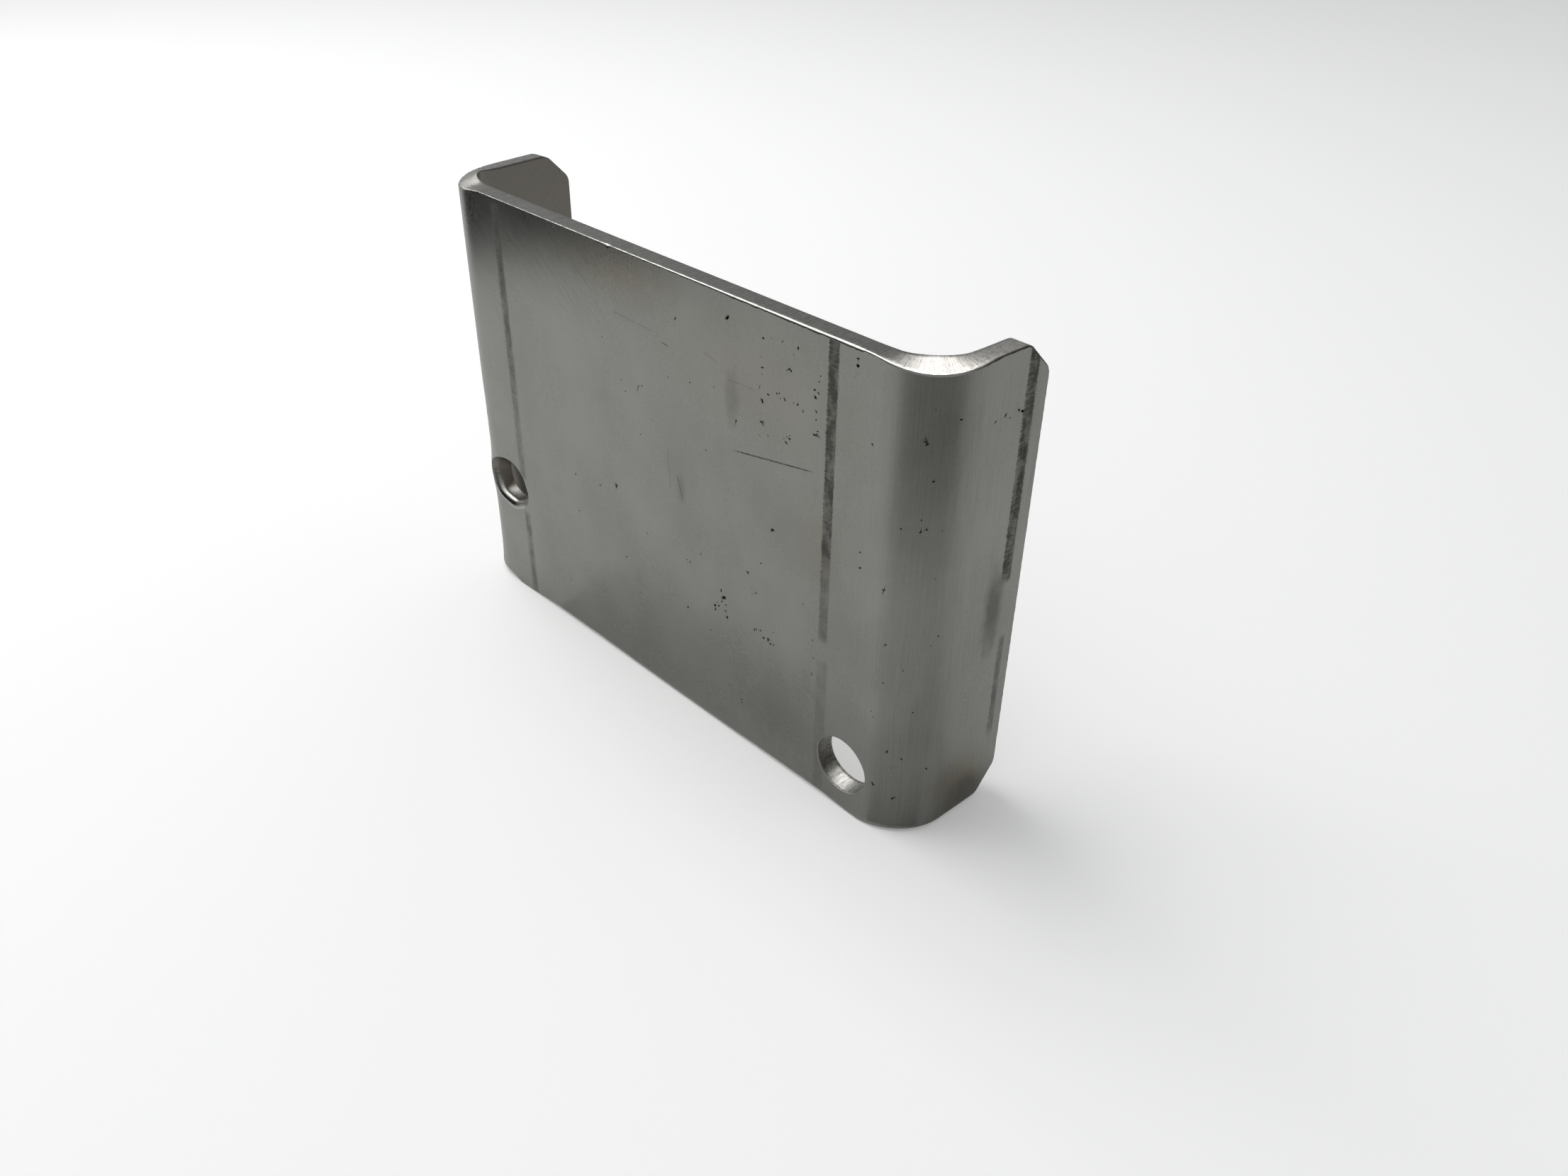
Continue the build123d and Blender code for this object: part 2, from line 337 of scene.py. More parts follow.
# Where on the blank a look sets in: from none at the first number to full at the second.
STREAKED_BEND, STRETCHED_EDGE, SCORED_FLANGE = (38.0, 52.0), (42.0, 50.0), (58.0, 64.0)
WIPED_HEIGHT, WIPED_REACH, INNER_SIDE = (14.0, 32.0), (6.0, -22.0), (1.0, 2.5)
# The first stretch on the next line is where the painted shadow along the right flange's outer rim
# sets in.
RIM_SHADOW_REACH, LEFT_FLANGE_BURR, LEFT_HOLE_REACH = (54.0, 60.0), (-51.0, -56.0), (-30.0, -35.0)
# The duller band in the right bend: its middle, its half width and how soft it is.
DULL_BAND = (53.0, 5.0, 3.0)

ROLL_STEPS, WALL_STEPS, BREAK_STEPS = 5, 7, 3
FACE, EDGE = 0, 1


def smooth(low, high, value):
    """0 under low, 1 over high, and a smooth step between."""
    passed = np.clip((value - low) / (high - low), 0, 1)
    return passed * passed * (3 - 2 * passed)


def near(value, centre, half_width, soft):
    """1 within a half width of a centre, falling to 0 over a soft edge."""
    return 1 - smooth(half_width - soft, half_width + soft, np.abs(value - centre))


class Fold:
    """One bend and its flange in millimetres. The side is +1 for the right one, -1 for the left."""

    def __init__(self, side, sizes, sheet):
        self.side = side
        self.turn = sizes.turn
        self.outside_radius = (sizes.inside_radius + sheet.thickness) / MM
        self.setback = self.outside_radius * math.tan(self.turn / 2)
        self.tangent = sheet.web_width / MM / 2 - self.setback
        self.arc = self.outside_radius * self.turn
        self.strip_end = self.tangent + self.arc + sizes.flange_length / MM - self.setback
        self.draw = sizes.rim_draw / MM
        self.lift = sizes.rim_lift / MM
        self.lean = sizes.draw_lean
        self.swell = sizes.edge_swell / MM
        self.draw_reach = sheet.draw_reach / MM
        self.swell_reach = sizes.swell_reach / MM

    def plan(self, reach, depth):
        """Plan points at a reach and a depth under the outer face, with the outward normals."""
        turned = np.clip((reach - self.tangent) / self.outside_radius, 0, self.turn)
        over = np.maximum(reach - self.tangent - self.arc, 0)
        radius = self.outside_radius - depth
        x = np.minimum(reach, self.tangent) + radius * np.sin(turned) + over * math.cos(self.turn)
        y = self.outside_radius - radius * np.cos(turned) + over * math.sin(self.turn)
        return self.side * x, y, self.side * np.sin(turned), -np.cos(turned)

    def felt(self, reach, lean):
        """How much of the top edge's draw or lift is felt at a reach, from 0 to 1."""
        passed = (reach - self.tangent + self.draw_reach) / (self.arc + 2 * self.draw_reach)
        return np.sin(np.pi * np.clip(passed, 0, 1) ** lean) ** 2

    def top_shift(self, reach, inward):
        """How far the top edge moves, from drawn down at inward 0 to lifted at inward 1."""
        lifted = self.lift * self.felt(reach, 1) * inward
        return lifted - self.draw * self.felt(reach, self.lean) * (1 - inward)

    def bottom_shift(self, reach):
        """How far the swell where the bend begins moves the bottom edge."""
        passed = np.clip((reach - self.tangent) / self.swell_reach, -1, 1)
        return -self.swell * np.cos(np.pi * passed / 2) ** 2

    def bend_share(self, reach):
        """0 outside the bend, rising to 1 in its middle."""
        passed = np.clip((reach - self.tangent) / self.arc, 0, 1)
        return np.sin(np.pi * passed) ** 2


class Sheet:
    """The folded sheet over its flat blank: reach along it, height, and depth under its face."""

    def __init__(self, sizes):
        self.thick = sizes.thickness / MM
        self.half_height = sizes.height / MM / 2
        self.right = Fold(1, sizes.right, sizes)
        self.left = Fold(-1, sizes.left, sizes)
        self.sizes = sizes
        self.holes = [self.hole(name) for name in sorted(HOLES)]

    def hole(self, name):
        """A bolt hole of the record: its reach, its height, its four sides and its droop.

        A side is its distance from the axis on the outer and on the inner face. The sides are the
        flange's, the web's, the upper and the lower one. The left bend pulled and pinched its hole.
        """
        s, mount = self.sizes, HOLES[name]
        reach, _, height = (v / MM for v in mount["pos_m"])
        radius = mount["dims"]["r_mm"]
        true = (radius, radius)
        if reach > 0:
            burred = (radius, radius - s.right_hole_burr / MM)
            return reach, height, (true, true, true, burred), 0.0
        pulled = (s.left_hole_outer_pull / MM, s.left_hole_inner_pull / MM)
        upper = (radius - s.left_hole_upper_pinch / MM,) * 2
        lower = (radius - s.left_hole_lower_pinch / MM,) * 2
        return reach, height, (pulled, true, upper, lower), s.left_hole_droop / MM

    def either(self, of_fold, reach, *rest):
        """A fold's value for each reach, taken from the fold on its side."""
        right, left = (of_fold(fold, np.abs(reach), *rest) for fold in (self.right, self.left))
        return np.where(reach >= 0, right, left)

    def stand_out(self, reach, height):
        """How far the sheet stands out from its true folds, where the press left it uneven."""
        s = self.sizes
        bend = np.where(reach < 0, self.left.bend_share(np.abs(reach)), 0)
        flare = s.corner_flare / MM * np.exp(-(height + self.half_height) / FLARE_FADE)
        above_bulge = height - min(self.holes)[1] + BULGE_DROP
        bulge = s.hole_bulge / MM * np.exp(-((above_bulge / BULGE_REACH) ** 2))
        sag = s.bend_sag / MM * smooth(-SAG_EASE, SAG_EASE, -height)
        groove = 0
        for at, width, low, high, strength, soft in DIE_MARKS:
            along = near(height, (low + high) / 2, (high - low) / 2, 1.0)
            groove = groove + strength * near(reach, at, width / 2, soft) * along
        waves = LONG_WAVE * np.sin(height / 9.0 + 1.3) * np.sin(reach / 11.0 + 0.4)
        waves = waves + SHORT_WAVE * np.sin(height / 4.3 + reach / 6.1)
        waves = waves * np.exp(-((reach / WAVY_REACH) ** 8))
        return bend * (flare + bulge - sag) + (waves - s.mark_depth / MM * groove)

    def place(self, reach, height, depth):
        """Points in space for points of the blank, in millimetres."""
        plans = (fold.plan(np.abs(reach), depth) for fold in (self.right, self.left))
        x, y, nx, ny = (np.where(reach >= 0, r, l) for r, l in zip(*plans))
        out = self.stand_out(reach, height)
        return np.stack([x + nx * out, y + ny * out, height], axis=-1)

    def face_normal(self, reach, height, depth):
        """Outward unit normals at a depth, eased along the strip as a real bend's are."""
        ease, step = 0.8, 0.05
        ahead, behind = (self.place(reach + by, height, depth) for by in (ease, -ease))
        above, below = (self.place(reach, height + by, depth) for by in (step, -step))
        normal = np.cross(ahead - behind, above - below)
        return normal / np.linalg.norm(normal, axis=-1, keepdims=True)


def spaced(start, end, pitch):
    """Even steps from start towards end at about a pitch, without the end itself."""
    count = max(1, round(abs(end - start) / pitch))
    return start + (end - start) * np.arange(count) / count


def rounded_polygon(corners, radii, pitch):
    """Points round a polygon, anticlockwise, with its corners rounded, at about a pitch."""
    corners = [np.array(c, float) for c in corners]
    stretches = []
    for i, corner in enumerate(corners):
        before = corners[i - 1] - corner
        after = corners[(i + 1) % len(corners)] - corner
        before, after = before / np.linalg.norm(before), after / np.linalg.norm(after)
        half = math.acos(np.clip(np.dot(before, after), -1, 1)) / 2
        tangent = radii[i] / math.tan(half)
        middle = (before + after) / np.linalg.norm(before + after)
        centre = corner + middle * radii[i] / math.sin(half)
        start, end = corner + before * tangent, corner + after * tangent
        first = math.atan2(*(start - centre)[::-1])
        turns = first + spaced(0, math.pi - 2 * half, pitch / 2 / radii[i])
        stretches.append((centre + radii[i] * np.stack([np.cos(turns), np.sin(turns)], -1), end))
    points = []
    for i, (arc, end) in enumerate(stretches):
        following = stretches[(i + 1) % len(stretches)][0][0]
        passed = spaced(0, 1, pitch / np.linalg.norm(following - end))[:, None]
        points += [arc, end + passed * (following - end)]
    return np.concatenate(points)


def outline(sheet, pitch):
    """The blank's outline as reach and height, anticlockwise."""
    s, half = sheet.sizes, sheet.half_height
    right, left = sheet.right.strip_end, -sheet.left.strip_end
    bottom_long, bottom_tall = s.bottom_clip_length / MM, s.bottom_clip_height / MM
    top_long, top_tall = s.top_clip_length / MM, s.top_clip_height / MM
    corners = [
        (left + bottom_long, -half),
        (right - bottom_long, -half),
        (right, -half + bottom_tall),
        (right, half - top_tall),
        (right - top_long, half),
        (left + top_long, half),
        (left, half - top_tall),
        (left, -half + bottom_tall),
    ]
    edge, end, top = s.clip_edge_round / MM, s.clip_end_round / MM, s.top_edge_round / MM
    return rounded_polygon(corners, [edge, edge, end, end, top, top, end, end], pitch)


def hole_rim(hole, pitch, thick, depth):
    """A hole's rim at a depth, clockwise, as a quarter ellipse between each two of its sides.

    The droop lowers the upper rim towards the flange, and lifts the lower one towards the web.
    """
    reach, height, sides, droop = hole
    turns = -np.arange(0, 2 * math.pi, pitch / sides[1][0])
    across, up = np.cos(turns), np.sin(turns)
    flange, web, upper, lower = (
        outer + (inner - outer) * depth / thick for outer, inner in sides
    )
    on_flange = np.maximum(np.sign(reach) * across, 0)
    on_web = np.maximum(-np.sign(reach) * across, 0)
    across = across * np.where(on_flange > 0, flange, web)
    up = up * np.where(up > 0, upper - droop * on_flange**2, lower - droop * on_web)
    return np.stack([reach + across, height + up], -1)


def inward_of(loop):
    """Unit normals in the blank's plane, towards the sheet on the left of a loop."""
    along = np.roll(loop, -1, 0) - np.roll(loop, 1, 0)
    normal = np.stack([-along[:, 1], along[:, 0]], -1)
    return normal / np.linalg.norm(normal, axis=1, keepdims=True)


def outline_rim(sheet, loop, depth):
    """The outline at a depth, with the top and bottom edges moved as the bends moved them."""
    reach, height = loop.T
    inward = depth / sheet.thick
    top = np.abs(height - sheet.half_height) < ON_EDGE
    bottom = np.abs(height + sheet.half_height) < ON_EDGE
    height = height + np.where(top, sheet.either(Fold.top_shift, reach, inward), 0)
    inner_end, outer_end = BOTTOM_WAVE_ENDS
    wave = np.cos(2 * np.pi * (reach - BOTTOM_CREST) / BOTTOM_WAVE_LENGTH)
    wave = sheet.sizes.bottom_wave / MM * wave * smooth(-outer_end, -inner_end, -np.abs(reach))
    swell = sheet.either(Fold.bottom_shift, reach)
    return np.stack([reach, height + np.where(bottom, swell - wave, 0)], -1)


def hole_rounds(sheet, loop):
    """The roll of a hole's outer rim at each point. The bend crushed the left one from below."""
    s = sheet.sizes
    left_of_middle, under_middle = (np.mean(loop[:, i]) - loop[:, i] for i in (0, 1))
    broad = s.hole_rim_round
    if loop[0, 0] < 0:
        on_web = smooth(*ROLL_GROWS, left_of_middle)
        broad = s.left_hole_roll * (ROLL_ON_FLANGE + ROLL_GROWTH * on_web)
    below = smooth(*ROLL_SETS_IN, under_middle)
    return (s.hole_rim_round + (broad - s.hole_rim_round) * below) / MM


def outline_rounds(sheet, loop):
    """The roll of the outline's outer rim at each point. The top rim's grows to the right bend."""
    s = sheet.sizes
    reach, height = loop.T
    plain = s.rim_round / MM
    top = height > sheet.half_height - ON_EDGE
    bottom = height < ON_EDGE - sheet.half_height
    worn = s.worn_rim_round / MM - plain * NARROW_RIM
    worn = plain * NARROW_RIM + worn * smooth(*RIM_GROWTH, reach)
    past = smooth(sheet.right.tangent - 2, sheet.right.tangent + 5, reach)
    rounds = np.where(top, worn + (plain - worn) * past, plain)
    rounds = np.where(bottom, s.bottom_rim_round / MM, rounds)
    broken = RIM_BREAKS - RIM_BREAKS_FALL * smooth(*RIM_BREAKS_STRETCH, reach)
    rounds = rounds * np.random.default_rng(3).uniform(1 - broken, 1 + broken / 2)
    crushed = np.where(bottom, smooth(*CRUSH_START, -reach) * smooth(*CRUSH_END, -reach), 0)
    rounds = rounds + (s.crushed_rim_round / MM - rounds) * crushed
    nick = np.where(top, np.exp(-(((reach - NICK_REACH) / NICK_WIDTH) ** 2)), 0)
    return rounds + s.nick_size / MM * nick


def edge_strip(sheet, rim, rounds_of):
    """Points across an edge, from the outer face over the rim and the wall to the inner face."""
    loop = rim(depth=0)
    inner = sheet.sizes.inner_rim_round / MM
    rounds = rounds_of(sheet, loop)
    inward = inward_of(loop)
    rows = []
    for turn in np.linspace(0, math.pi / 2, ROLL_STEPS):
        rows.append((rounds * (1 - math.sin(turn)), rounds * (1 - math.cos(turn))))
    for passed in np.linspace(0, 1, WALL_STEPS)[1:]:
        rows.append((0 * rounds, rounds + (sheet.thick - inner - rounds) * passed))
    for turn in np.linspace(0, math.pi / 2, BREAK_STEPS)[1:]:
        level = sheet.thick - inner + inner * math.sin(turn)
        rows.append((0 * rounds + inner * (1 - math.cos(turn)), 0 * rounds + level))
    blank = [rim(depth=depth) + inward * inset[:, None] for inset, depth in rows]
    return np.stack(blank, 1), np.stack([depth for _, depth in rows], 1)


def columns(sheet):
    """Where the mesh's columns stand: closer in the bends and at the die marks' edges."""
    coarse, fine = sheet.sizes.mesh_pitch / MM, sheet.sizes.edge_pitch / MM
    at = []
    for fold in (sheet.left, sheet.right):
        stops = [0, fold.tangent - 1, fold.tangent + fold.arc + 1, fold.strip_end]
        for start, end, pitch in zip(stops, stops[1:], (coarse, fine, coarse)):
            at.append(fold.side * spaced(start, end, pitch))
    for reach, width, *_ in DIE_MARKS:
        outer, inner = width / 2 + MARK_ROOM, width / 2 - MARK_ROOM
        at.append(reach + np.array([-outer, -inner, inner, outer]))
    return np.unique(np.round(np.concatenate(at), 4))


def face_grid(sheet, loops, pits):
    """Grid points of a face, clear of its loops, its pits and, if it is pitted, its scratches."""
    top = sheet.half_height + 1
    rows = spaced(-top, top, sheet.sizes.mesh_pitch / MM)
    grid = np.stack(np.meshgrid(columns(sheet), rows), -1).reshape(-1, 2)
    grid = grid[inside_loops(grid, loops)]
    edge = np.concatenate(loops)
    clear = np.array([np.min(np.sum((edge - p) ** 2, 1)) > EDGE_ROOM**2 for p in grid])
    for reach, height, radius in pits:
        clear &= np.hypot(grid[:, 0] - reach, grid[:, 1] - height) > radius * 2 + PIT_ROOM
    if pits:
        clear &= from_scratches(grid) > SCRATCH_ROOM
    return grid[clear]


def points_in(points, loop):
    """Whether each point lies inside a closed loop."""
    x, y = points[:, 0, None], points[:, 1, None]
    x0, y0 = loop[:, 0], loop[:, 1]
    x1, y1 = np.roll(x0, -1), np.roll(y0, -1)
    crosses = (y0 > y) != (y1 > y)
    with np.errstate(divide="ignore", invalid="ignore"):
        at = (x1 - x0) * (y - y0) / (y1 - y0) + x0
    return np.sum(crosses & (x < at), 1) % 2 == 1


def inside_loops(points, loops):
    """Whether each point lies inside the first loop and outside the others."""
    inside = points_in(points, loops[0])
    for loop in loops[1:]:
        inside &= ~points_in(points, loop)
    return inside


def scattered_pits(loops):
    """The pits of every patch as reach, height and radius, clear of the edges and one another."""
    chance = np.random.default_rng(7)
    edge = np.concatenate(loops)
    pits = []
    for reach, height, spread_reach, spread_height, count, radius in PIT_PATCHES:
        for _ in range(count):
            spread = chance.uniform(-1, 1, 2) * (spread_reach, spread_height)
            at = np.array([reach, height]) + spread
            size = radius * chance.uniform(*PIT_SIZES) if count > 1 else radius
            off_edge = np.min(np.hypot(*(edge - at).T)) > 2 * size + 0.1
            alone = all(math.hypot(at[0] - r, at[1] - h) > 1.4 * (size + s) for r, h, s in pits)
            if off_edge and alone and inside_loops(at[None], loops)[0]:
                pits.append((at[0], at[1], size))
    return pits


def pit_points(pits):
    """Points that sink each pit, which is longer one way: reach, height, depth and dirt."""
    chance = np.random.default_rng(11)
    rings = []
    for reach, height, radius in pits:
        lean, stretch = chance.uniform(0, math.pi), chance.uniform(*PIT_LENGTHS)
        rings.append(np.array([[reach, height, PIT_MIDDLE_DEPTH * radius, 1.0]]))
        for out_share, dent, dirt, count in PIT_RINGS:
            turns = (np.arange(count) + chance.uniform(-0.3, 0.3, count)) * 2 * math.pi / count
            out = radius * out_share * chance.uniform(*PIT_BORDERS, count)
            long, short = out * np.cos(turns) * stretch, out * np.sin(turns) / stretch**0.5
            along = reach + long * math.cos(lean) - short * math.sin(lean)
            up = height + long * math.sin(lean) + short * math.cos(lean)
            depth, dirty = np.full(count, dent * radius), np.full(count, dirt)
            rings.append(np.stack([along, up, depth, dirty], -1))
    return np.concatenate(rings)


def scratch_points():
    """Points along each scratch, sunk and dark in its middle, in the form of the pits' points."""
    chance = np.random.default_rng(5)
    lines = []
    for *ends, half_width, dark in SCRATCHES:
        start, span = np.array(ends[:2]), np.subtract(ends[2:], ends[:2])
        long = np.linalg.norm(span)
        passed = np.linspace(0, 1, max(3, round(long / SCRATCH_STEP)))
        aside = np.array([-span[1], span[0]]) / long
        worn = chance.uniform(*SCRATCH_WEAR, len(passed))
        worn = worn * np.minimum(1, 12 * np.minimum(passed, 1 - passed))
        for side, here in ((-1, 0.0), (0, 1.0), (1, 0.0)):
            at = start + passed[:, None] * span + side * half_width * aside
            at = at + aside * chance.normal(0, 0.15 * half_width, len(passed))[:, None]
            lines.append(np.column_stack([at, SCRATCH_DEPTH * here * worn, dark * here * worn]))
    return np.concatenate(lines)


def from_scratches(points):
    """How far points of the blank lie from the nearest scratch."""
    away = np.full(len(points), np.inf)
    for *ends, half_width, _ in SCRATCHES:
        start, span = np.array(ends[:2]), np.subtract(ends[2:], ends[:2])
        passed = np.clip((points - start) @ span / (span @ span), 0, 1)[:, None]
        from_line = np.linalg.norm(points - start - passed * span, axis=1)
        away = np.minimum(away, from_line - half_width)
    return away


def face_triangles(loops, free):
    """Triangles of one face of the blank over its loops' points and then its free points."""
    points = np.concatenate(loops + [free])
    edges, start = [], 0
    for loop in loops:
        count = len(loop)
        edges += [(start + i, start + (i + 1) % count) for i in range(count)]
        start += count
    made = delaunay_2d_cdt([Vector(p) for p in points], edges, [], 0, 1e-7)
    source = [originals[0] for originals in made[3]]
    triangles = np.array([[source[i] for i in face] for face in made[2]])
    return triangles[inside_loops(points[triangles].mean(1), loops)]


class MeshParts:
    """Gathers the points, faces and attributes of one mesh."""

    def __init__(self):
        self.blank, self.edge, self.faces, self.kinds = [], [], [], []
        self.count = 0

    def add_points(self, blank, edge):
        """Adds points of the blank with their place on an edge, and gives their indices."""
        indices = np.arange(self.count, self.count + len(blank))
        self.blank.append(blank)
        self.edge.append(edge)
        self.count += len(blank)
        return indices

    def add_faces(self, faces, kind):
        """Adds faces of a kind, which is their material's number."""
        self.faces += [tuple(int(i) for i in face) for face in faces]
        self.kinds += [kind] * len(faces)


def add_strip(parts, sheet, rim, rounds_of, arc_start):
    """Adds an edge's strip. Gives the indices and the places of its first and last rows."""
    blank, depths = edge_strip(sheet, rim, rounds_of)
    loop = rim(depth=0)
    count, rows = depths.shape
    steps = np.linalg.norm(np.roll(loop, -1, 0) - loop, axis=1)
    along = arc_start + np.concatenate([[0], np.cumsum(steps)[:-1]])
    points = np.concatenate([blank, depths[..., None]], -1).reshape(-1, 3)
    edge = np.stack([np.repeat(along, rows), depths.ravel(), np.zeros(count * rows)], -1)
    at = parts.add_points(points, edge).reshape(count, rows)
    after = np.roll(at, -1, 0)
    quads = np.stack([at[:, :-1], at[:, 1:], after[:, 1:], after[:, :-1]], -1)
    parts.add_faces(quads.reshape(-1, 4), EDGE)
    return at[:, 0], at[:, -1], blank[:, 0], blank[:, -1]


def add_face(parts, sheet, loops, ring_indices, depth):
    """Adds a face, sewn to the strips' end rows. Only the outer one is pitted and scratched."""
    pits = scattered_pits(loops) if depth == 0 else []
    grid = face_grid(sheet, loops, pits)
    free = np.column_stack([grid, np.zeros((len(grid), 2))])
    if pits:
        scratched, pitted = scratch_points(), pit_points(pits)
        pitted = pitted[from_scratches(pitted[:, :2]) > PIT_ROOM]
        free = np.concatenate([scratched, pitted, free])
    blank = np.column_stack([free[:, :2], depth + free[:, 2]])
    edge = np.column_stack([np.zeros((len(free), 2)), free[:, 3]])
    index = np.concatenate(ring_indices + [parts.add_points(blank, edge)])
    triangles = face_triangles(loops, free[:, :2])
    parts.add_faces(index[triangles if depth == 0 else triangles[:, ::-1]], FACE)


def sheet_mesh(sizes):
    """The whole folded sheet as one closed mesh, with the blank's coordinates on its points."""
    sheet = Sheet(sizes)
    pitch = sizes.edge_pitch / MM
    parts = MeshParts()
    edges = [(partial(outline_rim, sheet, outline(sheet, pitch)), outline_rounds)]
    for hole in sheet.holes:
        edges.append((partial(hole_rim, hole, pitch * 0.6, sheet.thick), hole_rounds))
    strips = [
        add_strip(parts, sheet, rim, rounds_of, HOLE_ARC_START * i)
        for i, (rim, rounds_of) in enumerate(edges)
    ]
    add_face(parts, sheet, [s[2] for s in strips], [s[0] for s in strips], 0.0)
    add_face(parts, sheet, [s[3] for s in strips], [s[1] for s in strips], sheet.thick)

    blank, edge = np.concatenate(parts.blank), np.concatenate(parts.edge)
    mesh = bpy.data.meshes.new("folded_sheet")
    mesh.from_pydata((sheet.place(*blank.T) * MM).tolist(), [], parts.faces)
    mesh.polygons.foreach_set("material_index", parts.kinds)
    mesh.shade_smooth()
    for name, values in (("blank", blank), ("edge", edge)):
        attribute = mesh.attributes.new(name, "FLOAT_VECTOR", "POINT")
        attribute.data.foreach_set("vector", values.astype(np.float32).ravel())
    set_grain(mesh, blank, edge)
    set_normals(mesh, sheet, blank)
    return mesh


def set_grain(mesh, blank, edge):
    """A UV map in centimetres whose V runs along the grain: up the faces, and across the edges."""
    corners = np.zeros(len(mesh.loops), np.int32)
    mesh.loops.foreach_get("vertex_index", corners)
    kinds, totals = (np.zeros(len(mesh.polygons), np.int32) for _ in range(2))
    mesh.polygons.foreach_get("material_index", kinds)
    mesh.polygons.foreach_get("loop_total", totals)
    on_edge = np.repeat(kinds, totals) == EDGE
    flow = np.where(on_edge[:, None], edge[corners, :2], blank[corners, :2])
    layer = mesh.uv_layers.new(name="grain")
    layer.uv.foreach_set("vector", (flow / 10).astype(np.float32).ravel())


def set_normals(mesh, sheet, blank):
    """True normals on the faces' own points, so that no triangle ripples the reflections."""
    found = np.zeros(len(blank) * 3, np.float32)
    mesh.vertex_normals.foreach_get("vector", found)
    outer, inner = blank[:, 2] == 0, blank[:, 2] == sheet.thick
    normals = sheet.face_normal(*blank.T)
    normals[inner] *= -1
    normals = np.where((outer | inner)[:, None], normals, found.reshape(-1, 3))
    mesh.normals_split_custom_set_from_vertices(normals.tolist())


def add_node(tree, kind, links=None, **settings):
    """Adds a node with its settings. Links give an input a field, a socket or a value."""
    node = tree.nodes.new(kind)
    for name, value in settings.items():
        setattr(node, name, value)
    for socket, source in (links or {}).items():
        source = getattr(source, "socket", source)
        if isinstance(source, bpy.types.NodeSocket):
            tree.links.new(source, node.inputs[socket])
        else:
            node.inputs[socket].default_value = source
    return node


class Field:
    """A number that varies over a surface. Sums and products of fields add the nodes for them."""

    def __init__(self, tree, socket):
        self.tree, self.socket = tree, socket

    def worked(self, operation, *others):
        """The field that a maths operation makes of this one and others."""
        links = dict(enumerate((self, *others)))
        node = add_node(self.tree, "ShaderNodeMath", links, operation=operation)
        return Field(self.tree, node.outputs[0])

    def __add__(self, other):
        return self.worked("ADD", other)

    def __sub__(self, other):
        return self.worked("SUBTRACT", other)

    def __rsub__(self, other):
        return self.worked("MULTIPLY_ADD", -1.0, other)

    def __mul__(self, other):
        return self.worked("MULTIPLY", other)

    def __truediv__(self, other):
        return self.worked("DIVIDE", other)

    __radd__ = __add__

    def stronger(self, other):
        """The greater of this field and another."""
        return self.worked("MAXIMUM", other)

    def passage(self, low, high, to_low=0.0, to_high=1.0):
        """This field's smooth passage from one range to another."""
        links = {"Value": self, "From Min": low, "From Max": high}
        links |= {"To Min": to_low, "To Max": to_high}
        node = add_node(self.tree, "ShaderNodeMapRange", links, interpolation_type="SMOOTHSTEP")
        return Field(self.tree, node.outputs["Result"])

    def band(self, centre, half_width, soft):
        """1 where this field is within a half width of a centre, falling to 0 over a soft edge."""
        away = (self - centre).worked("ABSOLUTE")
        return away.passage(half_width - soft, half_width + soft, 1.0, 0.0)


def mesh_fields(tree, name):
    """A vector that the mesh holds for each point, and its three parts as fields."""
    vector = add_node(tree, "ShaderNodeAttribute", attribute_name=name).outputs["Vector"]
    parts = add_node(tree, "ShaderNodeSeparateXYZ", {0: vector}).outputs
    return vector, [Field(tree, part) for part in parts]


def grain(tree, vector, sizes_mm, detail, rough, aside=(0, 0, 0)):
    """Noise over a vector in millimetres, with grains of about the sizes given for each axis."""
    links = {0: vector, 1: tuple(1 / size for size in sizes_mm), 2: aside}
    scaled = add_node(tree, "ShaderNodeVectorMath", links, operation="MULTIPLY_ADD").outputs[0]
    links = {"Vector": scaled, "Scale": 1.0, "Detail": detail, "Roughness": rough}
    return Field(tree, add_node(tree, "ShaderNodeTexNoise", links).outputs["Fac"])


def mixed(field, low, high):
    """A colour between two, by a field."""
    links = {"Factor": field, 6: low, 7: high}
    return add_node(field.tree, "ShaderNodeMix", links, data_type="RGBA").outputs[2]


def shaded(hue, by):
    """A colour made darker or lighter by a factor."""
    return (*(c * by for c in hue[:3]), 1.0)


def new_material(name):
    """An empty node material and its tree."""
    material = bpy.data.materials.new(name)
    material.use_nodes = True
    material.node_tree.nodes.clear()
    return material, material.node_tree


def finish_material(tree, base, roughness, height, bump_mm):
    """Ends a metal whose grain smears its reflections, with a bump from a height."""
    links = {"Height": height, "Distance": bump_mm * MM, "Strength": 1.0}
    bump = add_node(tree, "ShaderNodeBump", links)
    tangent = add_node(tree, "ShaderNodeTangent", direction_type="UV_MAP", uv_map="grain")
    links = {"Base Color": base, "Metallic": 1.0, "Roughness": roughness, "Anisotropic": 0.7}
    links |= {"Normal": bump.outputs[0], "Tangent": tangent.outputs[0]}
    shader = add_node(tree, "ShaderNodeBsdfPrincipled", links)
    add_node(tree, "ShaderNodeOutputMaterial", {"Surface": shader.outputs[0]})


def cloud_field(reach, height, clouds, ragged):
    """The strongest of several soft clouds on the blank, with ragged borders."""
    total = 0.0
    for at_reach, at_height, half_width, half_height, strength in clouds:
        across, up = (reach - at_reach) / half_width, (height - at_height) / half_height
        away = (across.worked("POWER", 2.0) + up.worked("POWER", 2.0)).worked("SQRT") + ragged
        total = away.passage(0.2, 1.3, strength, 0.0).stronger(total)
    return total


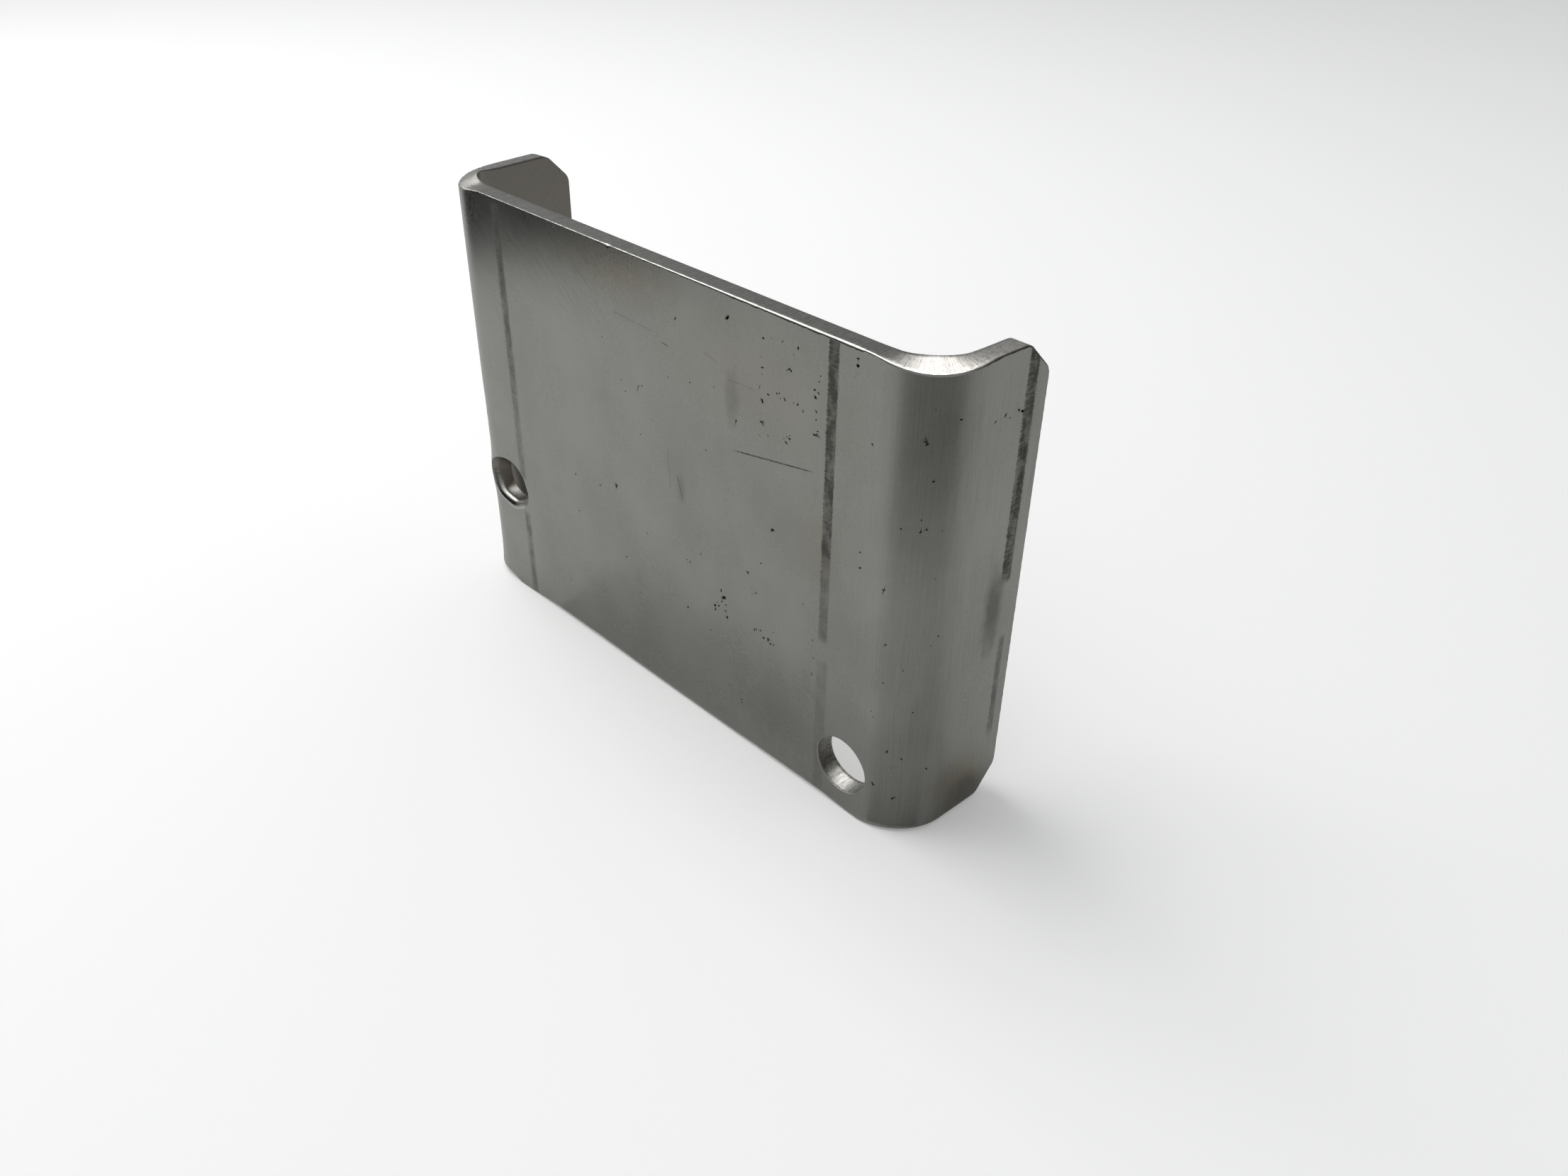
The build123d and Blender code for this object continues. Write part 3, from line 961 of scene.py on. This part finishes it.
def mark_field(reach, height, cross, coarse):
    """The die's scuff lines, scored across, with ragged borders and worn gaps."""
    wavering = reach + (cross - 0.5) * 1.1
    uneven = cross + coarse
    total = 0.0
    for at, width, low, high, strength, soft in DIE_MARKS:
        line = wavering.band(at, width / 2, soft)
        stretch = height.band((low + high) / 2, (high - low) / 2, 0.8)
        worn = uneven.passage(0.8, 1.15, strength * 0.45, strength)
        total = (line * stretch * worn).stronger(total)
    return total


def mill_finish_stainless(finish):
    """Stainless sheet, cold rolled and pickled (2B): a grey, softly glossy, finely mottled face.

    The rolls' streaks show most where the bend stretched the sheet, the die left scuffed lines,
    and the inner face, which never touched the die, is browner and duller.
    """
    material, tree = new_material("mill_finish_stainless")
    blank, (reach, height, depth) = mesh_fields(tree, "blank")
    dirt = mesh_fields(tree, "edge")[1][2]
    # Each grain's size along the strip, up it and through it. A pixel of the full picture covers
    # 0.1 mm, so two patterns are drawn as coarse as they need to show: the rolls' streaks, in
    # truth some 0.05 mm wide, at 0.3 mm, and the pickled mottle, some 0.03 mm, at 0.5 mm.
    streaks = grain(tree, blank, (0.3, 12.0, 1.0), 4.0, 0.65)
    mottle = grain(tree, blank, (0.5, 0.6, 1.0), 4.0, 0.75, (31, 7, 0))
    # Clouds of oil and heat some 15 mm wide, and the scores and worn patches of the die marks
    cloudy = grain(tree, blank, (14.0, 18.0, 4.0), 3.0, 0.55, (5, 3, 0))
    cross = grain(tree, blank, (1.6, 0.4, 1.0), 5.0, 0.8, (11, 2, 0))
    coarse = grain(tree, blank, (1.6, 3.5, 1.0), 3.0, 0.6, (2, 17, 0))
    # Slanting wipe marks, which show at the upper left alone
    turn = {"Vector": blank, "Angle": math.radians(38)}
    turned = add_node(tree, "ShaderNodeVectorRotate", turn).outputs[0]
    slanting = grain(tree, turned, (7.0, 0.28, 1.0), 4.0, 0.65, (3, 3, 0))
    wiped = (slanting - 0.5) * (height.passage(*WIPED_HEIGHT) * reach.passage(*WIPED_REACH))

    ragged = (coarse - 0.5) * 1.1
    warm = cloud_field(reach, height, WARM_CLOUDS, ragged)
    dark = cloud_field(reach, height, DARK_CLOUDS, ragged)
    bent = reach.passage(*STREAKED_BEND, 0.2, 1.0)
    streaked = (streaks - 0.5) * bent
    inside = depth.passage(*INNER_SIDE)
    outside = 1.0 - inside
    marks = mark_field(reach, height, cross, coarse) * outside

    shade = mottle * 0.12 + cloudy * 0.22 + streaked * 0.2 + wiped * 0.4
    base = mixed(shade.passage(0.04, 0.3), shaded(finish.sheet, 0.8), shaded(finish.sheet, 1.18))
    base = mixed(inside * 0.8, base, finish.inner)
    base = mixed(warm * 0.8, base, finish.stain)
    base = mixed(marks.stronger(dark * outside), base, finish.mark)
    scored = marks * streaks.passage(0.4, 0.65, 0.0, 0.55)
    base = mixed(scored * reach.passage(*SCORED_FLANGE), base, finish.pit)
    base = mixed(dirt, base, finish.pit)

    rough = finish.face_roughness - 0.07 + cloudy * 0.1 + mottle * 0.05 + marks * 0.26
    rough = rough + reach.band(*DULL_BAND) * 0.04 + dirt * 0.4
    relief = streaked * 0.26 + mottle * 0.08 + coarse * bent * 0.3 + wiped * 0.5 - marks * 0.8
    finish_material(tree, base, rough, relief, bump_mm=0.012)
    return material


def sheared_stainless(finish):
    """A sheared edge of the same steel: a bright rolled rim over a torn face with fine lines.

    On the left flange the shear broke through at the inner rim, where a dark burr line is left.
    Along the right flange's outer rim, a dark line of painted shadow is drawn in the burr's colour.
    The right hole's wall is bored bright, and the left one's is smeared where the bend pulled it;
    the deeper part of that pulled wall is painted shade, in the inner face's colour.
    """
    material, tree = new_material("sheared_stainless")
    edge, (along, depth, _) = mesh_fields(tree, "edge")
    reach, height, _ = mesh_fields(tree, "blank")[1]
    # Each grain's size along the edge and across it. The shear's lines, in truth some 0.1 mm
    # apart, are drawn at 0.3 mm, as coarse as they need to show at 0.1 mm for each pixel.
    lines = grain(tree, edge, (0.3, 6.0, 1.0), 5.0, 0.75)
    torn = grain(tree, edge, (0.5, 0.9, 1.0), 4.0, 0.7, (3, 9, 0))
    broken = grain(tree, edge, (1.3, 0.6, 1.0), 4.0, 0.65, (8, 1, 0))
    wave = depth + (broken - 0.5) * 0.7
    rim = wave.passage(0.12, 0.34, 1.0, 0.0)
    streak = (lines + torn * 0.6).passage(0.6, 1.0)
    inner_burr = wave.passage(2.25, 2.6) * reach.passage(*LEFT_FLANGE_BURR)
    # Painted shadow: a dark line along the right flange's outer rim, in the burr's colour.
    painted_rim_shadow = wave.band(0.1, 0.22, 0.1) * reach.passage(*RIM_SHADOW_REACH, 0.0, 0.85)
    burr = inner_burr.stronger(painted_rim_shadow)

    bored = along.passage(HOLE_ARC_START - 50.0, HOLE_ARC_START - 10.0)
    on_left = bored * reach.passage(*LEFT_HOLE_REACH)
    drilled = bored - on_left
    left_hole = next(mount for mount in HOLES.values() if mount["pos_m"][0] < 0)
    lip = left_hole["pos_m"][2] / MM - left_hole["dims"]["r_mm"]
    pulled = on_left * height.passage(lip + 0.9, lip + 1.9)

    base = mixed(streak, shaded(finish.edge, 0.75), shaded(finish.edge, 1.25))
    base = mixed(drilled * streak, base, finish.burnish)
    # Painted shade: the deeper part of the left hole's pulled wall is darkened to the inner face's
    # colour.
    base = mixed(pulled * depth.passage(0.9, 1.5), base, finish.inner)
    base = mixed(rim - rim * pulled, base, finish.burnish)
    base = mixed(on_left - pulled, base, finish.burnish)
    # The burr line, and the painted shadow along the right flange's outer rim.
    base = mixed(burr, base, finish.burr)

    rough = finish.edge_roughness - rim * 0.04 + torn * 0.08 + (burr + pulled) * 0.19
    stretched = reach.worked("ABSOLUTE").passage(*STRETCHED_EDGE)
    relief = lines * (stretched + drilled * 1.4 + 1.0)
    relief = relief + torn * stretched.passage(0.0, 1.0, 0.7, 0.15)
    finish_material(tree, base, rough, relief, bump_mm=0.03)
    return material


class BRACKET_OT_folded_sheet(bpy.types.Operator):
    """Make the folded sheet with its sheared edges, bolt holes and finish"""

    bl_idname = "bracket.folded_sheet"
    bl_label = "Folded sheet"

    def execute(self, context):
        scene = context.scene
        mesh = sheet_mesh(scene.bracket_sheet)
        mesh.materials.append(mill_finish_stainless(scene.bracket_finish))
        mesh.materials.append(sheared_stainless(scene.bracket_finish))
        piece = bpy.data.objects.new("folded_sheet", mesh)
        scene.collection.objects.link(piece)
        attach(piece, "root")
        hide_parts(NODE)
        return {"FINISHED"}


# The studio's own sizes are in metres.
FLOOR_REACH = 6.0
FLAG_HEIGHT = 0.15
FLAG_FOOT = 0.001
BEND_FOOT = (0.047, 0.007)
# The left flag stands on this line.
LEFT_LINE = ((-0.235, -0.055), (-0.035, -0.255))
# The lying flags are painted shade: dark sheets on the floor, which only the metal sees, for the
# shade on the floor towards the camera, before the web and inside the channel. Their corners, and
# their density at distances from the foot of the right bend.
FLOOR_SHADE_FLAGS = {
    "front": (
        ((0.047, 0.004), (0.01, -0.4), (0.3, -0.3), (0.45, 0.065)),
        ((0.0, 0.4), (0.045, 0.2), (0.055, 0.2), (0.12, 0.57)),
    ),
    "web": (
        ((0.047, 0.0), (-0.03, 0.0), (-0.035, -0.018), (0.045, -0.018)),
        ((0.0, 0.1), (0.06, 0.22)),
    ),
    "channel": (
        ((-0.042, 0.008), (0.03, 0.008), (0.03, 0.05), (-0.042, 0.05)),
        ((0.0, 0.55),),
    ),
}


def floor_material(hue):
    """A matt floor that is lit a little from below for the camera alone, as a light table is."""
    material, tree = new_material("pale_floor")
    seen = Field(tree, add_node(tree, "ShaderNodeLightPath").outputs["Is Camera Ray"])
    links = {"Base Color": hue, "Roughness": 0.9, "Emission Color": hue}
    links["Emission Strength"] = seen * 0.22
    shader = add_node(tree, "ShaderNodeBsdfPrincipled", links)
    add_node(tree, "ShaderNodeOutputMaterial", {"Surface": shader.outputs[0]})
    return material


def add_panel(name, corners, material):
    """A flat four-cornered piece of the studio."""
    mesh = bpy.data.meshes.new(name)
    mesh.from_pydata(corners, [], [(0, 1, 2, 3)])
    mesh.materials.append(material)
    panel = bpy.data.objects.new(name, mesh)
    bpy.context.scene.collection.objects.link(panel)
    return panel


def add_softbox(name, place, size, watts):
    """A square soft light that faces the bracket."""
    data = bpy.data.lights.new(name, "AREA")
    data.size = size
    data.energy = watts
    light = bpy.data.objects.new(name, data)
    light.location = place
    light.rotation_euler = (-Vector(place)).to_track_quat("-Z", "Y").to_euler()
    light.visible_camera = False
    bpy.context.scene.collection.objects.link(light)
    return light


def flag_material(name, profile):
    """A black flag whose density follows a profile of distances from the foot of the right bend."""
    material, tree = new_material(name)
    place = add_node(tree, "ShaderNodeTexCoord").outputs["Object"]
    links = {0: place, 1: (*BEND_FOOT, CAD_BOX[0][2])}
    away = add_node(tree, "ShaderNodeVectorMath", links, operation="DISTANCE").outputs["Value"]
    dense = profile[0][1]
    for (start, before), (end, after) in zip(profile, profile[1:]):
        dense = dense + Field(tree, away).passage(start, end, 0.0, after - before)
    clear = add_node(tree, "ShaderNodeBsdfTransparent").outputs[0]
    black = add_node(tree, "ShaderNodeBsdfDiffuse", {"Color": (0.01, 0.01, 0.01, 1.0)}).outputs[0]
    shader = add_node(tree, "ShaderNodeMixShader", {0: dense, 1: clear, 2: black})
    add_node(tree, "ShaderNodeOutputMaterial", {"Surface": shader.outputs[0]})
    return material


def add_flag(side, corners, profile):
    """A black flag that only the metal sees, outside the picture and the light."""
    panel = add_panel(f"{side}_flag", corners, flag_material(f"{side}_black", profile))
    panel.visible_camera = False
    panel.visible_shadow = False
    panel.visible_diffuse = False


class BRACKET_OT_stage(bpy.types.Operator):
    """Make the pale floor, the soft lights, the black flags, the lying ones painted shade, and the
    camera
    """

    bl_idname = "bracket.stage"
    bl_label = "Stage"

    def execute(self, context):
        scene, studio = context.scene, context.scene.bracket_studio
        floor_height = CAD_BOX[0][2]
        signs = ((-1, -1), (1, -1), (1, 1), (-1, 1))
        corners = [(x * FLOOR_REACH, y * FLOOR_REACH, floor_height) for x, y in signs]
        add_panel("floor", corners, floor_material(studio.floor))

        foot = floor_height + FLAG_FOOT
        start, end = LEFT_LINE
        top = foot + FLAG_HEIGHT
        standing = [(*start, foot), (*end, foot), (*end, top), (*start, top)]
        add_flag("left", standing, ((0.0, 1.0),))
        # Painted shade: the lying flags stand for shade on the floor, and only the metal sees them.
        for side, (corners, profile) in FLOOR_SHADE_FLAGS.items():
            add_flag(side, [(x, y, foot) for x, y in corners], profile)

        add_softbox("key_softbox", (-0.45, -0.12, 0.66), 0.7, studio.key_power)
        high = add_softbox("high_card", (-0.12, 0.12, 0.7), 0.5, studio.high_power)
        left = add_softbox("left_card", (-0.5, 0.1, 0.32), 0.09, studio.left_power)
        high.visible_diffuse = False
        left.visible_diffuse = False

        world = bpy.data.worlds.new("white_room")
        world.use_nodes = True
        tree = world.node_tree
        tree.nodes.clear()
        links = {"Color": studio.room, "Strength": studio.room_strength}
        light = add_node(tree, "ShaderNodeBackground", links)
        add_node(tree, "ShaderNodeOutputWorld", {"Surface": light.outputs[0]})
        scene.world = world
        scene.view_settings.view_transform = "Standard"

        data = bpy.data.cameras.new("camera")
        data.lens = studio.camera_lens
        data.sensor_width = 36.0
        data.clip_start = 0.01
        camera = bpy.data.objects.new("camera", data)
        camera.location = studio.camera_place
        camera.rotation_euler = studio.camera_turn
        scene.collection.objects.link(camera)
        scene.camera = camera
        return {"FINISHED"}


class BRACKET_PT_panel(bpy.types.Panel):
    """Lists the bracket's tools and sizes"""

    bl_idname = "BRACKET_PT_panel"
    bl_label = "Folded Sheet Bracket"
    bl_space_type = "VIEW_3D"
    bl_region_type = "UI"
    bl_category = "Bracket"

    def draw(self, context):
        layout, scene = self.layout, context.scene
        layout.operator(BRACKET_OT_folded_sheet.bl_idname)
        layout.operator(BRACKET_OT_stage.bl_idname)
        for group in (scene.bracket_sheet, scene.bracket_finish, scene.bracket_studio):
            for name in group.__annotations__:
                layout.prop(group, name)


CLASSES = (
    FoldSizes,
    SheetSizes,
    Finish,
    Studio,
    BRACKET_OT_folded_sheet,
    BRACKET_OT_stage,
    BRACKET_PT_panel,
)


def register():
    """Registers the classes and hangs the sizes on the scene."""
    for cls in CLASSES:
        bpy.utils.register_class(cls)
    bpy.types.Scene.bracket_sheet = bpy.props.PointerProperty(type=SheetSizes)
    bpy.types.Scene.bracket_finish = bpy.props.PointerProperty(type=Finish)
    bpy.types.Scene.bracket_studio = bpy.props.PointerProperty(type=Studio)


def unregister():
    """Takes back what register did."""
    del bpy.types.Scene.bracket_studio
    del bpy.types.Scene.bracket_finish
    del bpy.types.Scene.bracket_sheet
    for cls in reversed(CLASSES):
        bpy.utils.unregister_class(cls)


def main():
    """Makes the whole scene."""
    register()
    for name, value in LEFT_FOLD.items():
        setattr(bpy.context.scene.bracket_sheet.left, name, value)
    bpy.ops.bracket.stage()
    bpy.ops.bracket.folded_sheet()


if __name__ == "__main__":
    main()
